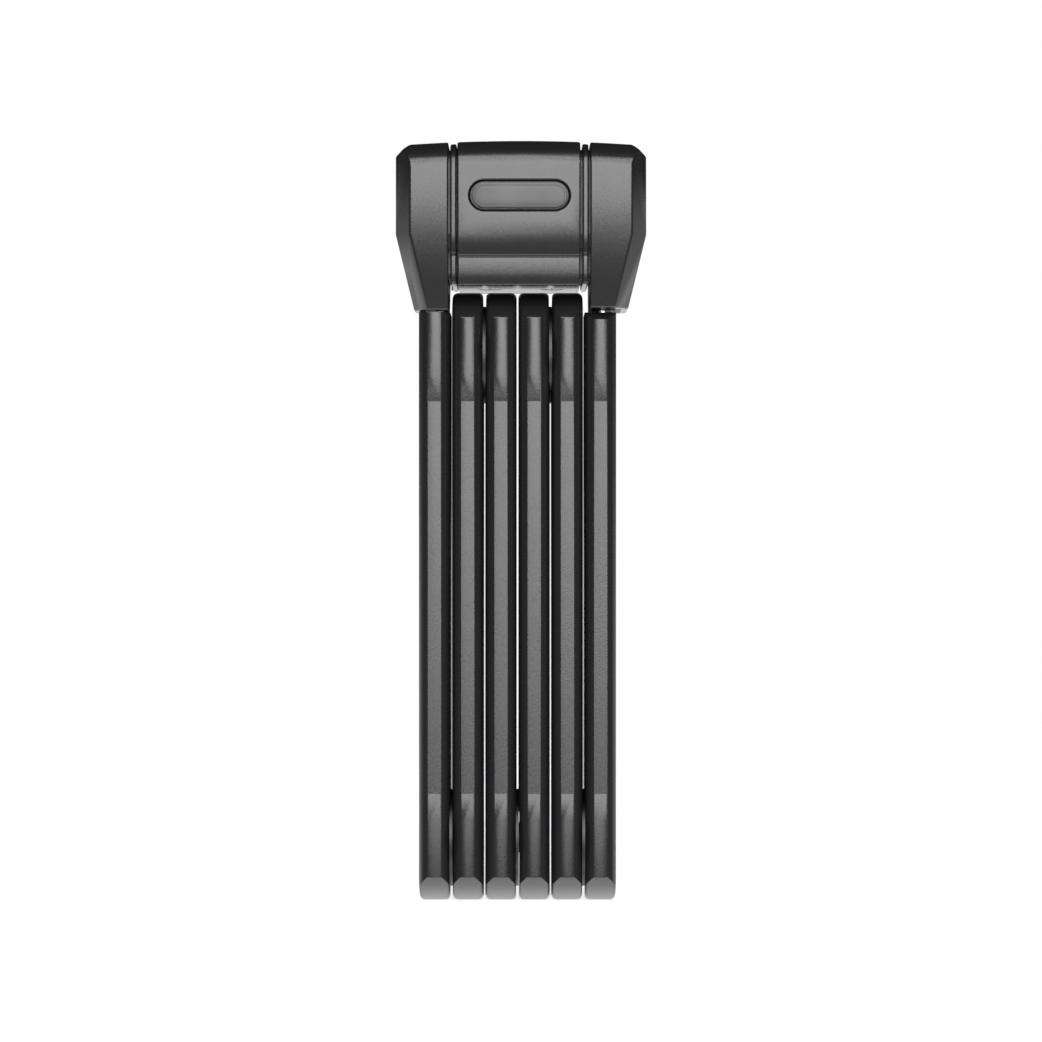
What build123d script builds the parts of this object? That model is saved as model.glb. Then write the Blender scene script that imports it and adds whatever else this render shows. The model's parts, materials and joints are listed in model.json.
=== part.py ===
"""Folding lock: six riveted links, folded flat side by side under a lock head.

The stack stands on the links' lower ends at Z = 0. +Z points to the head, the front faces -Y, and the
links are numbered from -X to +X. Every rivet runs along X, at Y = 0.
"""

import math
import os

from build123d import *

# --- Links --------------------------------------------------------------------------------------------
link_count = 6
link_thickness = 8.1          # over the plastic cover, along X
link_gap = 0.45               # between neighbouring covers
link_width = 26.0             # over the plastic cover, along Y
stack_centre_x = -0.9         # the stack sits a little to the left of the head's middle
pivot_span = 125.7            # rivet to rivet along a link
end_overhang = 3.15           # the rounded end reaches past half the link's width by this
end_arc_extra = 2.3           # the end's arc is this much flatter than a half circle
end_edge_fillet = 1.4
facet_width = 3.2             # flat strip down the middle of the front and back edges
shoulder_depth = 3.0          # how far the shoulders beside the facet fall back, along Y
shoulder_bulge = 0.45
outer_link_over_pivot = 10.5  # the first and last cover stop flat, this far above the upper pivots
last_link_slope = (1.9, 2.6)  # the last cover's flat top slopes off at its front and back: up, across

core_skin = 1.55              # plastic over each flat side of the steel
core_side_margin = 3.0        # plastic over each narrow edge of the steel
core_end_margin = 3.2         # plastic over the square end of the first and last core

notch_length = 6.8            # shallow wedge pockets in each facet
notch_depth = 0.85
notch_from_pivot = 9.1        # notch centre, measured from the rivet towards the link's middle

recess_depth = 0.2            # the covers are thinner round each rivet
recess_edge = 0.1             # from the recess to the cover's narrow edge
spacer_edge = 0.3             # from a spacer's rim to the recess's rim
spacer_play = 0.1
rivet_radius = 4.0
rivet_head_lip = 2.2          # the head's rim beyond the shank
rivet_head_thickness = 1.1
running_play = 0.05           # radial, for the hinges
open_play = 0.3               # where moving pieces only pass each other

half_thickness = link_thickness / 2
half_width = link_width / 2
link_pitch = link_thickness + link_gap
core_thickness = link_thickness - 2 * core_skin
core_width = link_width - 2 * core_side_margin
half_core = core_thickness / 2
pivot_to_end = half_width + end_overhang
end_radius = half_width + end_arc_extra
low_pivot_z = pivot_to_end
high_pivot_z = pivot_to_end + pivot_span
link_top = high_pivot_z + pivot_to_end
outer_link_top = high_pivot_z + outer_link_over_pivot
recess_radius = half_width - recess_edge
recess_face = half_thickness - recess_depth
spacer_radius = recess_radius - spacer_edge
spacer_thickness = link_pitch - 2 * recess_face - spacer_play
rivet_head_radius = rivet_radius + rivet_head_lip
link_x = {n: stack_centre_x + (n - (link_count + 1) / 2) * link_pitch for n in range(1, link_count + 1)}
joint_z = {n: low_pivot_z if n % 2 else high_pivot_z for n in range(1, link_count)}

# --- Head, measured from the links it closes over -----------------------------------------------------
leg_gap = 0.4                 # between the first link's flat top and the left leg
right_leg_lift = 0.6          # the right leg stops higher than the left one
centre_gap = 0.95             # between the middle links and the head's underside
waist_over_foot = 19.2        # below the waist the front, back and sides lean inwards
step_height = 7.4             # the centre's front steps back below this, over its underside
step_inset = 3.1
crown_radius = 427.0          # the top is slightly domed from side to side
top_round = 6.5               # round-over along the top's front and back
corner_drop = 3.2             # sloped cut on the top's outer corners
corner_run = 3.6
side_overhang = 10.725        # half the head's width beyond the outer links' middles
foot_lean_x = 4.6             # the feet are this much narrower than the head on each side
depth_overhang = 7.0          # the head's front and back beyond the links' narrow edges
foot_overhang = 1.0
edge_cut_x = 3.7              # chamfer on the upright outer edges
edge_cut_y = 5.0
underside_round = 1.2

cover_wall = 2.0
collar_inset = 0.5
collar_width = 1.6
leg_seam_left = 0.5           # open seam between a leg and its collar
leg_seam_right = 0.4
collar_seam_left = 0.2        # between a collar and the centre cover
collar_seam_right = 0.5
left_leg_set_in = 0.375       # the left leg's inner side, from the first link's inner face
right_leg_set_in = 1.275      # the right leg's inner side, from the last link's inner face

foot_z = outer_link_top + leg_gap
right_foot_z = foot_z + right_leg_lift
centre_underside_z = link_top + centre_gap
step_z = centre_underside_z + step_height
waist_z = foot_z + waist_over_foot
head_half_width = (link_x[link_count] - link_x[1]) / 2 + side_overhang
foot_half_width = head_half_width - foot_lean_x
head_half_depth = half_width + depth_overhang
foot_half_depth = half_width + foot_overhang
step_half_depth = head_half_depth - step_inset
left_leg_x = link_x[1] + half_thickness - left_leg_set_in
left_collar_x = left_leg_x + leg_seam_left
centre_left_x = left_collar_x + collar_width + collar_seam_left
right_leg_x = link_x[link_count] - half_thickness + right_leg_set_in
right_collar_x = right_leg_x - leg_seam_right - collar_width
centre_right_x = right_collar_x - collar_seam_right
outer_end_x = -head_half_width
case_end_x = outer_end_x + cover_wall

# --- Key cylinder, along X ----------------------------------------------------------------------------
plug_radius = 6.4
bolt_over_foot = 15.9
bolt_thickness = 2.0
housing_over_bolt = 2.8       # between the cross bolt and the housing above it
head_over_housing = 6.3
housing_wall = 1.8
housing_length = 26.1         # from the head's left end to the housing's inner end
plug_wall = 1.4               # round the bore that holds the discs
plug_front_wall = 1.7
plug_back_wall = 3.9
plug_past_housing = 1.5
keyway_width = 2.6
keyway_height = 7.0
disc_count = 8
disc_thickness = 1.6
disc_spacer_thickness = 0.6
sidebar_width = 1.6
sidebar_height = 1.3
clip_thickness = 0.8
cam_rim = 1.2                 # the plug's radius less the cam's
cam_length = 10.8
crank_rim = 2.9               # the cam's radius less the crank pin's offset
crank_pin_radius = 1.2
crank_pin_length = 3.9
plug_turn = 90.0

housing_radius = plug_radius + housing_wall
bolt_z = foot_z + bolt_over_foot
cylinder_z = bolt_z + bolt_thickness + housing_over_bolt + housing_radius
head_top = cylinder_z + housing_radius + head_over_housing
housing_end_x = outer_end_x + housing_length
plug_bore_radius = plug_radius - plug_wall
plug_end_x = housing_end_x + plug_past_housing
cam_radius = plug_radius - cam_rim
cam_end_x = plug_end_x + cam_length
crank_offset = cam_radius - crank_rim
crank_reach = crank_offset * math.sin(math.radians(plug_turn / 2))
crank_rise = crank_offset * math.cos(math.radians(plug_turn / 2))

badge_centre = (-0.4, cylinder_z)
badge_size = (25.7, 7.8)      # the groove round the badge: a slot with round ends
badge_groove = 0.6
badge_depth = 1.0
badge_line_inset = 1.0
badge_line_width = 0.3
badge_line_depth = 0.15

# --- Locking pin, on the last link, and the cross bolt that holds it -----------------------------------
pin_radius = 2.8
pin_offset_x = 0.7            # from the last link's middle plane
pin_spigot_step = 1.0         # the spigot's radius is this much less than the pin's
pin_spigot_length = 7.0
pin_groove_step = 0.9
pin_groove_play = 0.3
pin_groove_slope = 0.6
pin_nose_step = 1.2
pin_nose_length = 2.5
pin_over_groove = 1.8
pin_block_size = (6.0, 14.0, 11.0)

bolt_past_cam = 0.7
bolt_past_pin = 4.625
bolt_half_width = 6.0
lug_thickness = 2.5
lug_half_width = 4.0
lug_over_axis = 2.5           # the bolt's upright lug ends this far above the cylinder's axis
spring_past_lug = 4.5
spring_radius = 1.5
spring_wire = 0.25
spring_turns = 5
bush_wall = 1.4
bush_over_foot = 8.6
bush_under_bolt = 1.1

pin_x = link_x[link_count] + pin_offset_x
pin_spigot_radius = pin_radius - pin_spigot_step
pin_groove_radius = pin_radius - pin_groove_step
pin_nose_radius = pin_radius - pin_nose_step
pin_base_z = outer_link_top - core_end_margin
bolt_travel = 2 * crank_reach
bolt_left_x = cam_end_x + bolt_past_cam
bolt_right_x = pin_x + bolt_past_pin
lug_top_z = cylinder_z + lug_over_axis
spring_x = bolt_left_x + lug_thickness + spring_past_lug
groove_bottom_z = bolt_z - pin_groove_play
groove_top_z = bolt_z + bolt_thickness + pin_groove_play
pin_top_z = groove_top_z + pin_over_groove + pin_nose_length
bush_radius = pin_radius + bush_wall
bush_bottom_z = foot_z + bush_over_foot
bush_top_z = bolt_z - bush_under_bolt

# --- Head pivot, in the left leg ----------------------------------------------------------------------
head_pivot_over_foot = 10.6
head_rivet_radius = 3.5
head_rivet_reach = 4.625      # the rivet's outer end, from the first link's middle
head_rivet_spigot_radius = 2.0
head_rivet_spigot_reach = 3.3  # the spigot's end, inside the centre cover
tongue_thickness = 4.4
tongue_half_width = 7.0
tongue_play = 0.4
tilt_max = 45.0               # how far the first link tilts backwards in the head
housing_pin_radius = 1.2
housing_pin_from_end = 6.0    # from the housing's inner end

head_pivot_z = foot_z + head_pivot_over_foot
head_rivet_left_x = link_x[1] - head_rivet_reach
head_rivet_spigot_end_x = centre_left_x + head_rivet_spigot_reach
housing_pin_x = housing_end_x - housing_pin_from_end

# --- Keyhole shutter, sliding along Y in the left end --------------------------------------------------
keyhole_inset = 1.8           # the window's radius is this much less than the plug's
shutter_lap = 0.4             # the shutter beyond the window, along its travel
shutter_side_lap = 1.2
shutter_clear = 0.2           # the open shutter's edge, past the window
shutter_flange = 1.1
shutter_flange_thickness = 0.5
shutter_play = 0.2
shutter_skin = 0.55

keyhole_radius = plug_radius - keyhole_inset
shutter_half_length = keyhole_radius + shutter_lap
shutter_half_height = keyhole_radius + shutter_side_lap
shutter_travel = 2 * keyhole_radius + shutter_clear

# --- Screws -------------------------------------------------------------------------------------------
screw_radius = 1.5
screw_head_radius = 2.6
screw_head_height = 1.1
screw_length = 8.0
sleeve_screw_from_bolt = 1.0
end_screw_inset = 7.7
end_screw_over_foot = 32.9

sleeve_screw_x = bolt_left_x + sleeve_screw_from_bolt
end_screw_x = head_half_width - end_screw_inset
end_screw_z = foot_z + end_screw_over_foot

far = 60.0                    # cuts that run right out of a piece

os.makedirs("parts", exist_ok=True)


def save(builder, name):
    """Label a finished piece and write it."""
    builder.part.label = name
    export_step(builder.part, f"parts/{name}.step")


def side_plane(x):
    """Plane across the stack at X = x; its sketches are drawn in (Y, Z)."""
    return Plane.YZ.offset(x)


def disc_cut(x_from, x_to, z, radius, y=0.0, mode=Mode.SUBTRACT):
    """Round cut or boss along X in the piece being built."""
    with BuildSketch(side_plane(x_from)) as circle:
        with Locations((y, z)):
            Circle(radius)
    extrude(circle.sketch, amount=x_to - x_from, mode=mode)


def block(low, high, mode=Mode.ADD):
    """Box between two opposite corners, in the piece being built."""
    with Locations((Vector(*low) + Vector(*high)) / 2):
        Box(*(Vector(*high) - Vector(*low)), mode=mode)


# --- Link cores ---------------------------------------------------------------------------------------
def link_core(n):
    """Steel bar of link n, with a hole for each of its rivets."""
    x = link_x[n]
    first, last = n == 1, n == link_count
    with BuildPart() as core:
        with BuildSketch(side_plane(x - half_core)):
            if first or last:
                core_top = outer_link_top - core_end_margin
                with Locations((0, low_pivot_z)):
                    Circle(core_width / 2)
                with Locations((0, (low_pivot_z + core_top) / 2)):
                    Rectangle(core_width, core_top - low_pivot_z)
            else:
                with Locations((0, (low_pivot_z + high_pivot_z) / 2)):
                    SlotCenterToCenter(pivot_span, core_width, rotation=90)
        extrude(amount=core_thickness)
        if first:
            with BuildSketch(side_plane(x - tongue_thickness / 2)):
                with Locations((0, head_pivot_z)):
                    Circle(tongue_half_width)
                with Locations((0, (head_pivot_z + core_top - core_width) / 2)):
                    Rectangle(2 * tongue_half_width, head_pivot_z - core_top + core_width)
            extrude(amount=tongue_thickness)
            disc_cut(x - far, x + far, head_pivot_z, head_rivet_radius + running_play)
        if last:
            width, depth, height = pin_block_size
            block(
                (pin_x - width / 2, -depth / 2, pin_base_z - height),
                (pin_x + width / 2, depth / 2, pin_base_z),
            )
            with Locations((pin_x, 0, pin_base_z - pin_spigot_length / 2)):
                Cylinder(pin_spigot_radius, pin_spigot_length, mode=Mode.SUBTRACT)
        if n > 1:
            disc_cut(x - far, x + far, joint_z[n - 1], rivet_radius)
        if n < link_count:
            disc_cut(x - far, x + far, joint_z[n], rivet_radius + running_play)
    return core


cores = {n: link_core(n) for n in link_x}


# --- Link covers --------------------------------------------------------------------------------------
def end_depth(y):
    """How far the rounded end has fallen back at a distance y from the middle."""
    return end_radius - math.sqrt(end_radius**2 - y**2)


def link_section(x, z):
    """Cross-section of a cover: flat facets front and back, with sloping shoulders beside them."""
    facet = facet_width / 2
    fall = half_width - shoulder_depth
    bulge = shoulder_bulge / math.sqrt(2)
    mid_x = (facet + half_thickness) / 2 + bulge
    mid_y = (half_width + fall) / 2 + bulge
    with BuildSketch(Plane((x, 0, z))) as section:
        with BuildLine():
            for side in (-1, 1):
                Line((-facet, side * half_width), (facet, side * half_width))
                Line((side * half_thickness, -fall), (side * half_thickness, fall))
                for end in (-1, 1):
                    ThreePointArc(
                        (side * facet, end * half_width),
                        (side * mid_x, end * mid_y),
                        (side * half_thickness, end * fall),
                    )
        make_face()
    return section.sketch


def link_side_outline(x, top, round_top):
    """Side view of a cover: rounded lower end, and a rounded or a flat upper end."""
    reach = half_width + 2
    depth = end_depth(reach)
    with BuildSketch(side_plane(x - link_thickness)) as outline:
        with BuildLine():
            ThreePointArc((-reach, depth), (0, 0), (reach, depth))
            if round_top:
                Line((reach, depth), (reach, top - depth))
                ThreePointArc((reach, top - depth), (0, top), (-reach, top - depth))
                Line((-reach, top - depth), (-reach, depth))
            else:
                Polyline((reach, depth), (reach, top), (-reach, top), (-reach, depth))
        make_face()
    return outline.sketch


def notch(x, z, deep_end):
    """Wedge pockets in the front and back facets at height z, deepest towards deep_end (1 up, -1 down)."""
    for side in (-1, 1):
        with BuildSketch(side_plane(x - facet_width / 2)) as wedge:
            with BuildLine():
                Polyline(
                    (side * half_width, z - deep_end * notch_length / 2),
                    (side * half_width, z + deep_end * notch_length / 2),
                    (side * (half_width - notch_depth), z + deep_end * notch_length / 2),
                    close=True,
                )
            make_face()
        extrude(wedge.sketch, amount=facet_width, mode=Mode.SUBTRACT)


def rivet_recess(x, side, z, outward):
    """Thin the cover round a rivet and out to the near end, on one side of a link."""
    face = x + side * recess_face
    with BuildSketch(side_plane(face)) as thinned:
        with Locations((0, z)):
            Circle(recess_radius)
        with Locations((0, z + outward * pivot_to_end)):
            Rectangle(link_width + 4, 2 * pivot_to_end)
    extrude(thinned.sketch, amount=side * 2 * recess_depth, mode=Mode.SUBTRACT)


def link_cover(n):
    """Moulded cover of link n, shaped closely round its core."""
    x = link_x[n]
    full = 1 < n < link_count
    top = link_top if full else outer_link_top
    with BuildPart() as cover:
        extrude(link_section(x, 0), amount=top)
        extrude(link_side_outline(x, top, full), amount=2 * link_thickness, mode=Mode.INTERSECT)
        end_arcs = cover.edges().filter_by(GeomType.CIRCLE)
        end_arcs = end_arcs.filter_by(lambda e: abs(e.radius - end_radius) < 0.01)
        fillet(
            end_arcs.filter_by(lambda e: abs(abs(e.center().X - x) - half_thickness) < 0.01),
            radius=end_edge_fillet,
        )
        notch(x, low_pivot_z + notch_from_pivot, 1)
        notch(x, high_pivot_z - notch_from_pivot, -1)
        for side, joint in ((-1, n - 1), (1, n)):
            if joint in joint_z:
                low = joint_z[joint] == low_pivot_z
                rivet_recess(x, side, joint_z[joint], -1 if low else 1)
        add(cores[n].part, mode=Mode.SUBTRACT)
        if n > 1:
            z = joint_z[n - 1]
            disc_cut(x - far, x, z, rivet_radius)
            disc_cut(x + half_core, x + far, z, rivet_head_radius)
            disc_cut(x, x + half_core, z, rivet_radius)
        if n < link_count:
            z = joint_z[n]
            disc_cut(x - half_core, x + far, z, rivet_radius + open_play)
            disc_cut(x - far, x - half_core, z, rivet_head_radius + open_play / 2)
        if n == 1:
            block(
                (x - far, -tongue_half_width, outer_link_top),
                (x + far, tongue_half_width, outer_link_top + far),
                mode=Mode.SUBTRACT,
            )
        if n == link_count:
            slope_height, slope_depth = last_link_slope
            with BuildSketch(side_plane(x - link_thickness)) as slopes:
                for end in (-1, 1):
                    with BuildLine():
                        Polyline(
                            (end * half_width, outer_link_top - slope_height),
                            (end * half_width, outer_link_top),
                            (end * (half_width - slope_depth), outer_link_top),
                            close=True,
                        )
                    make_face()
            extrude(slopes.sketch, amount=2 * link_thickness, mode=Mode.SUBTRACT)
            with Locations((pin_x, 0, pin_base_z + far / 2)):
                Cylinder(pin_radius, far, mode=Mode.SUBTRACT)
            with Locations((pin_x, 0, pin_base_z - pin_spigot_length / 2)):
                Cylinder(pin_spigot_radius, pin_spigot_length, mode=Mode.SUBTRACT)
    return cover


for n in link_x:
    save(cores[n], f"link_{n}_core")
    save(link_cover(n), f"link_{n}_cover")


# --- Link rivets and spacers --------------------------------------------------------------------------
for n, z in joint_z.items():
    left_face = link_x[n] - half_core - spacer_play
    right_face = link_x[n + 1] + half_core
    with BuildPart() as rivet:
        disc_cut(left_face, right_face, z, rivet_radius, mode=Mode.ADD)
        disc_cut(left_face - rivet_head_thickness, left_face, z, rivet_head_radius, mode=Mode.ADD)
        disc_cut(right_face, right_face + rivet_head_thickness, z, rivet_head_radius, mode=Mode.ADD)
        rims = rivet.edges().filter_by(GeomType.CIRCLE).sort_by(Axis.X)
        chamfer([rims[0], rims[-1]], length=rivet_head_thickness / 3)
    save(rivet, f"rivet_{n}_{n + 1}")

    spacer_x = link_x[n] + recess_face
    with BuildPart() as spacer:
        disc_cut(spacer_x, spacer_x + spacer_thickness, z, spacer_radius, mode=Mode.ADD)
        disc_cut(spacer_x, spacer_x + spacer_thickness, z, rivet_radius + open_play)
    save(spacer, f"spacer_{n}_{n + 1}")


# --- Locking pin --------------------------------------------------------------------------------------
with BuildPart() as locking_pin:
    with BuildSketch(Plane(origin=(pin_x, 0, 0), x_dir=(1, 0, 0), z_dir=(0, -1, 0))):
        with BuildLine():
            Polyline(
                (0, pin_base_z - pin_spigot_length),
                (pin_spigot_radius, pin_base_z - pin_spigot_length),
                (pin_spigot_radius, pin_base_z),
                (pin_radius, pin_base_z),
                (pin_radius, groove_bottom_z - pin_groove_slope),
                (pin_groove_radius, groove_bottom_z),
                (pin_groove_radius, groove_top_z),
                (pin_radius, groove_top_z),
                (pin_radius, pin_top_z - pin_nose_length),
                (pin_nose_radius, pin_top_z),
                (0, pin_top_z),
                close=True,
            )
        make_face()
    revolve(axis=Axis((pin_x, 0, 0), (0, 0, 1)))
save(locking_pin, "locking_pin")


# --- Head form ----------------------------------------------------------------------------------------
def plan_outline(z, half_x, half_y):
    """Plan of the head at height z: a rectangle with its four upright edges cut off."""
    with BuildSketch(Plane.XY.offset(z)) as plan:
        with BuildLine():
            Polyline(
                (half_x, half_y - edge_cut_y),
                (half_x - edge_cut_x, half_y),
                (-half_x + edge_cut_x, half_y),
                (-half_x, half_y - edge_cut_y),
                (-half_x, -half_y + edge_cut_y),
                (-half_x + edge_cut_x, -half_y),
                (half_x - edge_cut_x, -half_y),
                (half_x, -half_y + edge_cut_y),
                close=True,
            )
        make_face()
    return plan.sketch


def head_form(inset):
    """Outer shape of the whole head with its legs, made smaller all round by inset."""
    half_x = head_half_width - inset
    half_y = head_half_depth - inset
    top = head_top - inset
    dome = crown_radius - inset
    round_over = top_round - inset
    sweep_angle = math.degrees(head_half_width / crown_radius) + 1
    dome_plane = Plane(
        origin=(0, 0, top - dome),
        x_dir=(0, 1, 0),
        z_dir=(math.cos(math.radians(sweep_angle)), 0, -math.sin(math.radians(sweep_angle))),
    )
    with BuildPart() as form:
        foot = plan_outline(foot_z, foot_half_width - inset, foot_half_depth - inset)
        waist = plan_outline(waist_z, half_x, half_y)
        loft([foot, waist], ruled=True)
        extrude(waist, amount=top - waist_z)
        with BuildSketch(dome_plane):
            with BuildLine():
                Line((-half_y, dome - far), (-half_y, dome - round_over))
                RadiusArc((-half_y, dome - round_over), (-half_y + round_over, dome), round_over)
                Line((-half_y + round_over, dome), (half_y - round_over, dome))
                RadiusArc((half_y - round_over, dome), (half_y, dome - round_over), round_over)
                Polyline((half_y, dome - round_over), (half_y, dome - far), (-half_y, dome - far))
            make_face()
        revolve(
            axis=Axis((0, 0, top - dome), (0, -1, 0)),
            revolution_arc=2 * sweep_angle,
            mode=Mode.INTERSECT,
        )
        corner_x = half_x - corner_run
        corner_z = top - dome + math.sqrt(dome**2 - corner_x**2)
        for side in (-1, 1):
            with BuildSketch(Plane.XZ.offset(-far)):
                with BuildLine():
                    Polyline(
                        (side * (corner_x - corner_run), corner_z + corner_drop),
                        (side * (corner_x + 2 * corner_run), corner_z - 2 * corner_drop),
                        (side * (corner_x + 2 * corner_run), corner_z + corner_drop),
                        close=True,
                    )
                make_face()
            extrude(amount=2 * far, mode=Mode.SUBTRACT)
    return form.part


outer_form = head_form(0)
collar_form = head_form(collar_inset)
inner_form = head_form(cover_wall)


def clear_under_centre(inset, x_from, x_to):
    """Cut the space between the legs, and the step along the front and back of the centre."""
    half_y = step_half_depth - inset
    under = centre_underside_z + inset
    step = step_z + inset
    height = step + 2 * underside_round - under
    with BuildSketch(side_plane(x_from)) as space:
        with Locations((0, step - far / 2)):
            Rectangle(far, far)
        with Locations((0, under + height / 2)):
            RectangleRounded(2 * half_y, height, underside_round, mode=Mode.SUBTRACT)
    extrude(space.sketch, amount=x_to - x_from, mode=Mode.SUBTRACT)


def slab(x_from, x_to):
    """Keep only the part between two planes across the head."""
    with BuildSketch(side_plane(x_from)) as kept:
        with Locations((0, head_top - far / 2 + 1)):
            Rectangle(far, far)
    extrude(kept.sketch, amount=x_to - x_from, mode=Mode.INTERSECT)


def cut_right_foot():
    """The right leg stops a little above the left one."""
    block((0, -far, 0), (far, far, right_foot_z), mode=Mode.SUBTRACT)


def tilt_relief(x_to):
    """Cut the lower back of the left leg away, so that the first link can tilt backwards."""
    reach = head_pivot_z - foot_z
    angle = math.radians(tilt_max)
    tangent = (reach * math.sin(angle), head_pivot_z - reach * math.cos(angle))
    half = (reach * math.sin(angle / 2), head_pivot_z - reach * math.cos(angle / 2))
    run_out = (tangent[0] + far * math.cos(angle), tangent[1] + far * math.sin(angle))
    with BuildSketch(side_plane(-far)) as swept:
        with BuildLine():
            ThreePointArc((0, foot_z), half, tangent)
            Polyline(tangent, run_out, (run_out[0], foot_z - far), (0, foot_z - far), (0, foot_z))
        make_face()
    extrude(swept.sketch, amount=x_to + far, mode=Mode.SUBTRACT)


def tongue_slot():
    """Slot that the first link's tongue swings in: upright at the front, open below and behind."""
    half = tongue_half_width + tongue_play
    width = tongue_thickness + 2 * open_play
    angle = math.radians(tilt_max)
    top = (half * math.cos(angle), head_pivot_z + half * math.sin(angle))
    run_out = (top[0] + far * math.sin(angle), top[1] - far * math.cos(angle))
    with BuildSketch(side_plane(link_x[1] - width / 2)) as slot:
        with BuildLine():
            Line((-half, foot_z - far), (-half, head_pivot_z))
            ThreePointArc((-half, head_pivot_z), (0, head_pivot_z + half), top)
            Polyline(top, run_out, (run_out[0], foot_z - far), (-half, foot_z - far))
        make_face()
    extrude(slot.sketch, amount=width, mode=Mode.SUBTRACT)


relief_edge_x = link_x[1] + half_thickness + open_play

with BuildPart() as case_block:
    add(inner_form)
    clear_under_centre(cover_wall, left_leg_x, right_leg_x)
    cut_right_foot()


# --- Head covers --------------------------------------------------------------------------------------
with BuildPart() as centre_cover:
    add(outer_form)
    slab(centre_left_x, centre_right_x)
    clear_under_centre(0, centre_left_x - 1, centre_right_x + 1)
    add(case_block.part, mode=Mode.SUBTRACT)
    with BuildSketch(Plane.XZ.offset(head_half_depth)):
        with Locations(badge_centre):
            SlotOverall(*badge_size)
    extrude(amount=-badge_depth, mode=Mode.SUBTRACT)
    for x in (-sleeve_screw_x, sleeve_screw_x):
        with Locations((x, 0, centre_underside_z)):
            Cylinder(screw_radius, 3 * cover_wall, mode=Mode.SUBTRACT)
            Cylinder(
                screw_head_radius + shutter_play,
                screw_head_height + 0.1,
                align=(Align.CENTER, Align.CENTER, Align.MIN),
                mode=Mode.SUBTRACT,
            )
save(centre_cover, "centre_cover")

for name, x in (("left_collar", left_collar_x), ("right_collar", right_collar_x)):
    with BuildPart() as collar:
        add(collar_form)
        slab(x, x + collar_width)
        clear_under_centre(collar_inset, x - 1, x + collar_width + 1)
        add(case_block.part, mode=Mode.SUBTRACT)
        tilt_relief(relief_edge_x)
    save(collar, name)


def end_screw_hole(x):
    """Countersunk hole through the back wall of an end cover."""
    with Locations(Plane(origin=(x, head_half_depth, end_screw_z), z_dir=(0, 1, 0))):
        Cylinder(screw_radius, 3 * cover_wall, mode=Mode.SUBTRACT)
        Cylinder(
            screw_head_radius + shutter_play, 2 * (screw_head_height + 0.1), mode=Mode.SUBTRACT
        )


flange_half = shutter_half_height + shutter_flange
channel_front = -shutter_half_length - shutter_play
channel_back = shutter_half_length + shutter_travel + open_play
skin_x = case_end_x - shutter_skin
lip_x = skin_x - shutter_flange_thickness - 2 * shutter_play

with BuildPart() as left_end_cover:
    add(outer_form)
    slab(-far, left_leg_x)
    add(case_block.part, mode=Mode.SUBTRACT)
    tilt_relief(relief_edge_x)
    tongue_slot()
    end_screw_hole(-end_screw_x)
    block(
        (lip_x, channel_front, cylinder_z - flange_half - shutter_play),
        (skin_x, channel_back, cylinder_z + flange_half + shutter_play),
        mode=Mode.SUBTRACT,
    )
    block(
        (outer_end_x - 1, channel_front, cylinder_z - shutter_half_height - shutter_play),
        (skin_x, channel_back, cylinder_z + shutter_half_height + shutter_play),
        mode=Mode.SUBTRACT,
    )
    disc_cut(skin_x - 0.1, case_end_x + 1, cylinder_z, keyhole_radius)
save(left_end_cover, "left_end_cover")

with BuildPart() as right_end_cover:
    add(outer_form)
    slab(right_leg_x, far)
    cut_right_foot()
    add(case_block.part, mode=Mode.SUBTRACT)
    end_screw_hole(end_screw_x)
save(right_end_cover, "right_end_cover")

with BuildPart() as badge:
    with BuildSketch(Plane.XZ.offset(head_half_depth - badge_depth)):
        with Locations(badge_centre):
            SlotOverall(badge_size[0] - 2 * badge_groove, badge_size[1] - 2 * badge_groove)
    extrude(amount=badge_depth)
    line_length, line_height = (size - 2 * (badge_groove + badge_line_inset) for size in badge_size)
    with BuildSketch(Plane.XZ.offset(head_half_depth)):
        with Locations(badge_centre):
            SlotOverall(line_length, line_height)
            SlotOverall(
                line_length - 2 * badge_line_width, line_height - 2 * badge_line_width, mode=Mode.SUBTRACT
            )
    extrude(amount=-badge_line_depth, mode=Mode.SUBTRACT)
save(badge, "badge")


# --- Lock case ----------------------------------------------------------------------------------------
bolt_top = bolt_z + bolt_thickness
bolt_play = open_play - 0.05
bolt_sweep = bolt_half_width + crank_reach + open_play
lug_sweep = lug_half_width + crank_reach + open_play
spring_end_y = -bolt_half_width - crank_reach
spring_start_y = -13.4
cam_cavity_end_x = bolt_left_x - open_play
pin_bore_radius = pin_radius + 0.1

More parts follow.
